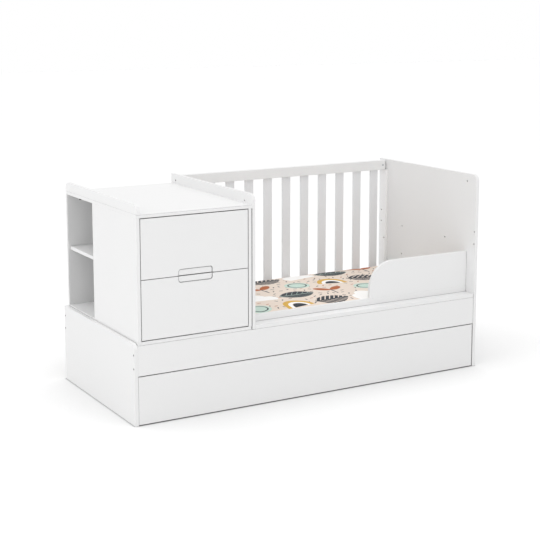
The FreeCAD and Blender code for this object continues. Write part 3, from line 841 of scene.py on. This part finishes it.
    def material(self) -> bpy.types.Material:
        """The printed cloth as nodes.

        Returns:
            The material.
        """
        sheet = NodeSheet(self.name)
        unrolled = sheet.add("UVMap", uv_map=Mattress.MAP_NAME).outputs[0]
        weave = None
        for direction in ("X", "Y"):
            threads = sheet.add("TexWave", wave_type="BANDS", bands_direction=direction)
            sheet.feed(threads.inputs["Vector"], unrolled)
            threads.inputs["Scale"].default_value = 1.0 / (WAVE_RATE * self.thread) * math.pi
            ridge = threads.outputs[1]
            weave = ridge if weave is None else sheet.math("MULTIPLY", weave, ridge)
        sheet.bump(weave, self.weave_depth, strength=self.weave_strength)
        return sheet.shade(
            Base_Color=self.printed(sheet),
            Roughness=sheet.spread(weave, *self.weave_gloss),
            Specular_IOR_Level=self.specular,
            Sheen_Weight=self.sheen,
            Sheen_Roughness=self.sheen_spread,
        )


Finish = PaintedBoard | BarePine | FinishedSteel | MouldedTread | PrintedCotton


class Finishes:
    """The finishes of the crib, each made into a material once."""

    LACQUER = PaintedBoard("satin_white_lacquer", from_screen("ececec"), from_screen("eaeaea"))
    # A darker, cooler copy of the white lacquer: painted shade on the slats, with a blue tint that cancels
    # the warm light bounced from the mattress.
    SHADED_SLAT_LACQUER = PaintedBoard("shaded_slat_lacquer", from_screen("e8e9eb"), from_screen("e6e7e9"))
    # A lighter copy of the white lacquer: painted light on the railing's stiles.
    LIT_LACQUER = PaintedBoard("lit_white_lacquer", from_screen("f9f9f9"), from_screen("f7f7f7"))
    # A darker copy of the white lacquer: painted shade on the back of the chest, seen deep in the niche.
    SHADED_LACQUER = PaintedBoard("shaded_white_lacquer", from_screen("e1e1e1"), from_screen("dedede"))
    MELAMINE = PaintedBoard("white_melamine_paper", from_screen("e4e4e3"), from_screen("e0e0df"),
                            (0.46, 0.56), 1500.0, 0.00010)
    CROSS_PINE = BarePine("pine_across", from_screen("e6cfa4"), from_screen("c49a63"), Axis.Y)
    LONG_PINE = BarePine("pine_along", from_screen("e3cb9f"), from_screen("c09660"), Axis.X)
    ZINC = FinishedSteel("zinc_plate", from_screen("c9ccd0"), from_screen("b3b7bc"), (0.26, 0.42), 1.0)
    BLACK_STEEL = FinishedSteel("black_oxide", from_screen("222224"), from_screen("1a1a1c"),
                                (0.40, 0.55), 0.0)
    CASTOR_STEEL = FinishedSteel("grey_powder_coat", from_screen("55575a"), from_screen("484a4d"),
                                 (0.45, 0.60), 0.0)
    TREAD = MouldedTread("black_nylon", from_screen("1f1f21"), from_screen("5c5b58"))
    COTTON = PrintedCotton("printed_cotton_cover", from_screen("e8d8ca"), from_screen("d8ab45"),
                           from_screen("1a242e"), from_screen("b05c26"), from_screen("c6dcd1"),
                           from_screen("fdfcfa"))

    def __init__(self) -> None:
        """Start with no material made."""
        self._made: dict[str, bpy.types.Material] = {}

    def of(self, finish: Finish) -> bpy.types.Material:
        """The material of a finish.

        Args:
            finish: One of the finishes above.

        Returns:
            Its material, made on first use.
        """
        if finish.name not in self._made:
            self._made[finish.name] = finish.material()
        return self._made[finish.name]


def wear(piece: bpy.types.Object, material: bpy.types.Material) -> None:
    """Put one material on all of a piece.

    Args:
        piece: A mesh object.
        material: The material.
    """
    if not piece.material_slots:
        piece.data.materials.append(material)
    for slot in piece.material_slots:
        slot.material = material


def from_work(name: str, work: bmesh.types.BMesh) -> bpy.types.Object:
    """Make a working mesh into an object of the scene.

    Args:
        name: The object's name.
        work: The working mesh, which is used up.

    Returns:
        The object.
    """
    mesh = bpy.data.meshes.new(name)
    work.to_mesh(mesh)
    work.free()
    piece = bpy.data.objects.new(name, mesh)
    bpy.context.scene.collection.objects.link(piece)
    return piece


def hang(name: str, data: bpy.types.ID, place: Vector, gaze: Vector) -> bpy.types.Object:
    """Put a lamp or a camera in the scene.

    Args:
        name: The object's name.
        data: What it is: a light or a camera.
        place: Where it is.
        gaze: The way it points.

    Returns:
        The object.
    """
    thing = bpy.data.objects.new(name, data)
    thing.location = place
    thing.rotation_mode = "QUATERNION"
    thing.rotation_quaternion = gaze.to_track_quat("-Z", "Y")
    bpy.context.scene.collection.objects.link(thing)
    return thing


def ease_edges(piece: bpy.types.Object, radius: float) -> None:
    """Round the sharp edges of a board a little, as sanding or an edge band does.

    Args:
        piece: A mesh object whose own mesh stays as it is.
        radius: The rounding.
    """
    weld = piece.modifiers.new("joined_faces", "WELD")
    weld.merge_threshold = WELD_REACH
    plain = piece.modifiers.new("plain_faces", "DECIMATE")
    plain.decimate_type = "DISSOLVE"
    plain.angle_limit = FLAT_ANGLE
    bevel = piece.modifiers.new("eased_edges", "BEVEL")
    bevel.width = radius
    bevel.segments = EDGE_SEGMENTS
    bevel.limit_method = "ANGLE"
    bevel.angle_limit = SHARP_ANGLE
    bevel.use_clamp_overlap = False
    normals = piece.modifiers.new("flat_faces", "WEIGHTED_NORMAL")
    normals.weight = FACE_WEIGHT
    normals.keep_sharp = False


@dataclass
class BoardWork:
    """Nodes that share a finish and an edge rounding."""

    nodes: tuple[str, ...]
    finish: Finish
    edge: float

    def dress(self, finishes: Finishes) -> list[bpy.types.Object]:
        """Finish the nodes.

        Args:
            finishes: Where materials come from.

        Returns:
            The nodes' objects.
        """
        pieces = []
        for name in self.nodes:
            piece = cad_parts[name]
            wear(piece, finishes.of(self.finish))
            if self.edge > 0:
                ease_edges(piece, self.edge)
            pieces.append(piece)
        return pieces


@dataclass
class SubAssembly:
    """A part of the crib that is built and dressed together."""

    boards: list[BoardWork] = field(default_factory=list)

    def build(self, finishes: Finishes) -> list[bpy.types.Object]:
        """Dress every node of the sub-assembly.

        Args:
            finishes: Where materials come from.

        Returns:
            The pieces.
        """
        return [piece for work in self.boards for piece in work.dress(finishes)]


@dataclass
class BedBase(SubAssembly):
    """End panels, rails, ledge, guard and the pine base."""

    panel_edge: float = 0.0008
    grooved_edge: float = 0.0004
    pine_edge: float = 0.0020
    steel_edge: float = 0.0004

    def __post_init__(self) -> None:
        """List the base's boards."""
        panels = ("left_end_panel", "headboard", "footboard", "back_board")
        grooved = ("front_rail", "front_ledge", "bed_side_rail", "guard_panel")
        self.boards = [
            BoardWork(panels, Finishes.LACQUER, self.panel_edge),
            BoardWork(grooved, Finishes.LACQUER, self.grooved_edge),
            BoardWork(("base_slats",), Finishes.CROSS_PINE, self.pine_edge),
            BoardWork(("front_cleat", "back_cleat"), Finishes.LONG_PINE, self.pine_edge),
            BoardWork(("bolts",), Finishes.BLACK_STEEL, self.steel_edge),
            BoardWork(("board_nuts",), Finishes.ZINC, 0.0),
        ]


@dataclass
class BackRailing(SubAssembly):
    """The slatted back of the crib."""

    slat_edge: float = 0.0025
    rail_edge: float = 0.0012
    stile_edge: float = 0.0008

    def __post_init__(self) -> None:
        """List the railing's sticks."""
        self.boards = [
            BoardWork(("railing_top_rail", "railing_bottom_rail"), Finishes.LACQUER, self.rail_edge),
            BoardWork(("railing_slats",), Finishes.SHADED_SLAT_LACQUER, self.slat_edge),
            BoardWork(("railing_head_stile", "railing_foot_stile"), Finishes.LIT_LACQUER, self.stile_edge),
            BoardWork(("railing_nuts",), Finishes.ZINC, 0.0),
        ]


@dataclass
class DrawerChest(SubAssembly):
    """The chest of drawers with its niche."""

    board_edge: float = 0.0007
    seam_edge: float = 0.0002
    steel_edge: float = 0.0003

    def __post_init__(self) -> None:
        """List the chest's boards and fittings."""
        boards = ("dresser_floor", "dresser_left_side", "dresser_right_side", "dresser_partition",
                  "niche_shelf")
        self.boards = [
            BoardWork(boards, Finishes.LACQUER, self.board_edge),
            BoardWork(("dresser_top", "dresser_lip"), Finishes.LACQUER, self.seam_edge),
            BoardWork(("dresser_back",), Finishes.SHADED_LACQUER, self.board_edge),
            BoardWork(("runner_outers",), Finishes.ZINC, self.steel_edge),
            BoardWork(("shelf_pins",), Finishes.ZINC, 0.0),
            BoardWork(("niche_fitting",), Finishes.TREAD, self.steel_edge),
        ]


@dataclass
class Drawer(SubAssembly):
    """One drawer with its moving runners."""

    level: Level = Level.UPPER
    front_edge: float = 0.0006
    box_edge: float = 0.0008
    steel_edge: float = 0.0003

    def __post_init__(self) -> None:
        """List the drawer's boards and runners."""
        name = self.level.value
        box = tuple(f"{name}_drawer_{side}" for side in ("left_side", "right_side", "back", "bottom"))
        runners = (f"{name}_runner_inners", f"{name}_runner_middles")
        self.boards = [
            BoardWork((f"{name}_drawer_front",), Finishes.LACQUER, self.front_edge),
            BoardWork(box, Finishes.MELAMINE, self.box_edge),
            BoardWork(runners, Finishes.ZINC, self.steel_edge),
        ]


@dataclass
class Trundle(SubAssembly):
    """The rolling drawer under the bed."""

    board_edge: float = 0.0007
    fork_edge: float = 0.0004
    wheel_edge: float = 0.0015
    columns: int = 3

    def __post_init__(self) -> None:
        """List the trundle's boards and castors."""
        wheels = tuple(
            f"trundle_wheel_{line}_{column}" for line in ("front", "back") for column in range(self.columns)
        )
        walls = ("trundle_left_side", "trundle_right_side", "trundle_back", "trundle_bottom")
        self.boards = [
            BoardWork(("trundle_front",), Finishes.LACQUER, self.board_edge),
            BoardWork(walls, Finishes.MELAMINE, self.board_edge),
            BoardWork(("trundle_front_forks", "trundle_back_forks"), Finishes.CASTOR_STEEL, self.fork_edge),
            BoardWork(("trundle_axles",), Finishes.ZINC, 0.0),
            BoardWork(wheels, Finishes.TREAD, self.wheel_edge),
        ]


@dataclass
class Mattress:
    """The crib mattress in its fitted cover, blown up like cloth from the space that its solid holds."""

    MAP_NAME = "Unrolled"
    SLOT = "printed_cotton"

    side_room: float = 0.004
    top_room: float = 0.001
    voxel: float = 0.010
    pressure: float = 4.0
    frames: int = 20
    swell_limit: float = 0.006
    seat_gap: float = 0.0005
    fold_depth: float = 0.0016
    fold_reach: float = 0.16
    fold_waves: float = 15.0
    fold_shifts: Span = (1.3, 0.7)
    drift_waves: Span = (9.0, 8.0)
    drift_skew: float = 1.7
    drift_shift: float = 0.9
    drift_share: float = 0.5
    lean_gain: float = 1.4
    fill: float = 0.9

    def start_shape(self) -> bpy.types.Object:
        """A copy of the solid, drawn in a little and remeshed.

        Returns:
            The new object.
        """
        work = bmesh.new()
        work.from_mesh(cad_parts["mattress"].data)
        bmesh.ops.remove_doubles(work, verts=work.verts, dist=WELD_REACH)
        bmesh.ops.recalc_face_normals(work, faces=work.faces)
        low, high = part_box("mattress")
        middle, half = (low + high) / 2, (high - low) / 2
        rooms = (self.side_room, self.side_room, self.top_room)
        scale = [(side - room) / side for side, room in zip(half, rooms)]
        drawn_in = Matrix.Translation(middle) @ Matrix.Diagonal((*scale, 1.0)) @ Matrix.Translation(-middle)
        bmesh.ops.transform(work, matrix=drawn_in, verts=work.verts)
        piece = from_work("crib_mattress", work)
        remesh = piece.modifiers.new("even_mesh", "REMESH")
        remesh.mode = "VOXEL"
        remesh.voxel_size = self.voxel
        self.settle_modifiers(piece)
        return piece

    def settle_modifiers(self, piece: bpy.types.Object) -> None:
        """Keep the shape that the modifiers give, without them.

        Args:
            piece: The object.
        """
        graph = bpy.context.evaluated_depsgraph_get()
        shaped = bpy.data.meshes.new_from_object(piece.evaluated_get(graph))
        piece.modifiers.clear()
        piece.data = shaped

    def points(self, piece: bpy.types.Object) -> np.ndarray:
        """The vertices of a piece as rows.

        Args:
            piece: The object.

        Returns:
            One row of three numbers for each vertex.
        """
        flat = np.empty(len(piece.data.vertices) * 3, np.float32)
        piece.data.vertices.foreach_get("co", flat)
        return flat.reshape(-1, 3).astype(float)

    def inflate(self, piece: bpy.types.Object) -> None:
        """Blow the cover up as cloth and hold it near where it started.

        Args:
            piece: The remeshed pad.
        """
        start = self.points(piece)
        cloth = piece.modifiers.new("cover", "CLOTH")
        cloth.settings.use_pressure = True
        cloth.settings.uniform_pressure_force = self.pressure
        cloth.settings.effector_weights.gravity = 0.0
        cloth.point_cache.frame_start = 1
        cloth.point_cache.frame_end = self.frames
        scene = bpy.context.scene
        for step in range(1, self.frames + 1):
            scene.frame_set(step)
        self.settle_modifiers(piece)
        scene.frame_set(1)
        moved = self.points(piece) - start
        reach = np.linalg.norm(moved, axis=1, keepdims=True)
        held = moved * np.minimum(1.0, self.swell_limit / np.maximum(reach, TINY))
        piece.data.vertices.foreach_set("co", (start + held).astype(np.float32).ravel())

    def drape(self, piece: bpy.types.Object) -> None:
        """Pull shallow folds out of the corners, lay the pad flat on the base and keep it in its space.

        Args:
            piece: The blown-up pad.
        """
        low, high = (np.array(corner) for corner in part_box("mattress"))
        middle = (low + high) / 2
        places = self.points(piece)
        side = np.sign(places[:, :2] - middle[:2])
        corner = middle[:2] + side * (high[:2] - low[:2]) / 2
        away = places[:, :2] - corner
        reach = np.linalg.norm(away, axis=1)
        bearing = np.arctan2(np.abs(away[:, 1]), np.abs(away[:, 0]) + TINY)
        upper = np.clip((places[:, 2] - middle[2]) / (high[2] - middle[2]), 0.0, 1.0)
        fade = np.exp(-((reach / self.fold_reach) ** 2)) * upper
        shift_x, shift_y = self.fold_shifts
        ripple = np.sin(bearing * self.fold_waves + side[:, 0] * shift_x + side[:, 1] * shift_y)
        along, across = self.drift_waves
        drift = np.sin(places[:, 0] * along + self.drift_skew * places[:, 1])
        drift *= np.sin(places[:, 1] * across + self.drift_shift)
        places[:, 2] += self.fold_depth * (fade * ripple + self.drift_share * upper * drift)
        places[:, 2] = np.maximum(places[:, 2], low[2] + self.seat_gap)
        places[:, :2] = np.clip(places[:, :2], low[:2], high[:2])
        piece.data.vertices.foreach_set("co", places.astype(np.float32).ravel())

    def unroll(self, piece: bpy.types.Object) -> None:
        """Lay the print flat: the top keeps its place and the sides run on from it.

        Args:
            piece: The finished pad.
        """
        low, high = (np.array(corner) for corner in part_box("mattress"))
        middle = (low + high) / 2
        places = self.points(piece)
        drop = high[2] - places[:, 2]
        normals = np.empty(len(piece.data.vertices) * 3, np.float32)
        piece.data.vertices.foreach_get("normal", normals)
        lean = normals.reshape(-1, 3)[:, :2]
        flat = places[:, :2] - middle[:2] + drop[:, None] * np.clip(lean * self.lean_gain, -1.0, 1.0)
        layer = piece.data.uv_layers.new(name=self.MAP_NAME)
        corners = np.empty(len(piece.data.loops), np.int32)
        piece.data.loops.foreach_get("vertex_index", corners)
        layer.uv.foreach_set("vector", flat[corners].astype(np.float32).ravel())

    def build(self, finishes: Finishes) -> list[bpy.types.Object]:
        """Make the mattress and put it on its body.

        Args:
            finishes: Where materials come from.

        Returns:
            The mattress.
        """
        piece = self.start_shape()
        self.inflate(piece)
        self.drape(piece)
        piece.data.update()
        self.unroll(piece)
        piece.data.polygons.foreach_set("use_smooth", [True] * len(piece.data.polygons))
        finer = piece.modifiers.new("smooth_cover", "SUBSURF")
        finer.levels = finer.render_levels = 1
        wear(piece, finishes.of(Finishes.COTTON))
        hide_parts("mattress")
        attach(piece, "mattress")
        return [piece]


@dataclass(frozen=True)
class SoftLamp:
    """A large square lamp that faces the middle of the crib."""

    name: str
    place: Vector
    power: float
    side: float = 3.0

    def build(self) -> None:
        """Make the lamp and hang it."""
        light = bpy.data.lights.new(self.name, "AREA")
        light.shape = "SQUARE"
        light.size = self.side
        light.energy = self.power
        low, high = cad_box
        hang(self.name, light, self.place, (low + high) / 2 - self.place)


@dataclass
class Studio:
    """A white room: a dome that is brightest overhead, weak soft lamps, a pale floor with a painted contact
    shadow, and the camera.
    """

    dome: float = 0.27
    overhead: float = 1.10
    floor_side: float = 60.0
    floor_colour: float = 0.80
    contact_reach: float = 1.2
    contact_shade: float = 0.32
    line_reach: float = 0.014
    line_shade: float = 1.0
    lamps: tuple[SoftLamp, ...] = (
        SoftLamp("front_lamp", Vector((0.5, -6.0, 3.0)), 41.0),
        SoftLamp("left_lamp", Vector((-6.0, -0.8, 2.2)), 55.0),
        SoftLamp("camera_lamp", Vector((-3.4, -5.9, 2.6)), 31.0),
        SoftLamp("back_lamp", Vector((-3.5, 2.5, 5.5)), 21.0),
    )
    camera_place: Vector = Vector((-3.1337, -5.3670, 1.8556))
    camera_turn: float = math.radians(30.091)
    camera_dip: float = math.radians(8.764)
    focal_pixels: float = 1243.6
    centre_row: float = 200.0
    sight: float = 100.0

    def two_tone(self, graph: NodeGraph, lit: Number, seen: Number) -> Socket:
        """One grey for the light that falls on things, another for the camera and for gloss and glass.

        Args:
            graph: The node tree to add to.
            lit: The grey that lights other things.
            seen: The grey that is seen.

        Returns:
            The grey's output.
        """
        path = graph.add("LightPath").outputs
        mirrored = graph.math("MAXIMUM", path["Is Glossy Ray"], path["Is Transmission Ray"])
        return graph.spread(graph.math("MAXIMUM", path["Is Camera Ray"], mirrored), lit, seen)

    def world(self) -> None:
        """Light everything from a soft dome and show white behind it."""
        world = bpy.data.worlds.new("white_room")
        world.use_nodes = True
        graph = NodeGraph(world.node_tree)
        background = world.node_tree.nodes["Background"]
        background.inputs["Color"].default_value = (1.0, 1.0, 1.0, 1.0)
        rise = graph.split(graph.add("TexCoord").outputs["Generated"])["Z"]
        light = graph.math("MULTIPLY_ADD", graph.math("MAXIMUM", rise, 0.0), self.overhead, self.dome)
        graph.feed(background.inputs["Strength"], self.two_tone(graph, light, 1.0))
        bpy.context.scene.world = world

    def floor(self) -> None:
        """A pale floor that takes the shadow, with a painted shadow that darkens its seen colour near the
        object.
        """
        work = bmesh.new()
        bmesh.ops.create_grid(work, x_segments=1, y_segments=1, size=self.floor_side / 2)
        floor = from_work("studio_floor", work)
        material = bpy.data.materials.new("pale_floor")
        material.use_nodes = True
        graph = NodeGraph(material.node_tree)
        graph.tree.nodes.remove(graph.tree.nodes["Principled BSDF"])
        # Painted shadow: the seen colour darkens where the floor is closed in, broadly near the object and
        # in a thin dark line at its foot.
        soft = graph.spread(graph.openness(self.contact_reach), 1.0 - self.contact_shade, 1.0)
        line = graph.spread(graph.openness(self.line_reach), 1.0 - self.line_shade, 1.0)
        seen = graph.math("MULTIPLY", soft, line)
        diffuse = graph.add("BsdfDiffuse")
        graph.feed(diffuse.inputs["Color"], self.two_tone(graph, self.floor_colour, seen))
        graph.feed(graph.tree.nodes["Material Output"].inputs["Surface"], diffuse.outputs[0])
        wear(floor, material)

    def camera(self) -> None:
        """The camera where the photograph was taken."""
        data = bpy.data.cameras.new("camera")
        data.sensor_width = SENSOR_WIDTH_MM
        data.lens = self.focal_pixels / IMAGE_SIDE * SENSOR_WIDTH_MM
        data.shift_y = (self.centre_row - IMAGE_SIDE / 2) / IMAGE_SIDE
        data.clip_end = self.sight
        level = math.cos(self.camera_dip)
        gaze = Vector((math.sin(self.camera_turn) * level, math.cos(self.camera_turn) * level,
                       -math.sin(self.camera_dip)))
        bpy.context.scene.camera = hang("camera", data, self.camera_place, gaze)

    def build(self) -> None:
        """Set the room up."""
        bpy.context.scene.view_settings.view_transform = "Standard"
        self.world()
        self.floor()
        for lamp in self.lamps:
            lamp.build()
        self.camera()


def main() -> None:
    """Build every sub-assembly in order and report its pieces."""
    logging.basicConfig(level=logging.INFO, format="%(name)s: %(message)s")
    finishes = Finishes()
    assemblies = [
        BedBase(),
        BackRailing(),
        DrawerChest(),
        Drawer(level=Level.UPPER),
        Drawer(level=Level.LOWER),
        Trundle(),
        Mattress(),
    ]
    for assembly in assemblies:
        for piece in assembly.build(finishes):
            LOG.info("%s: %s", type(assembly).__name__, piece.name)
    Studio().build()


if __name__ == "__main__":
    main()
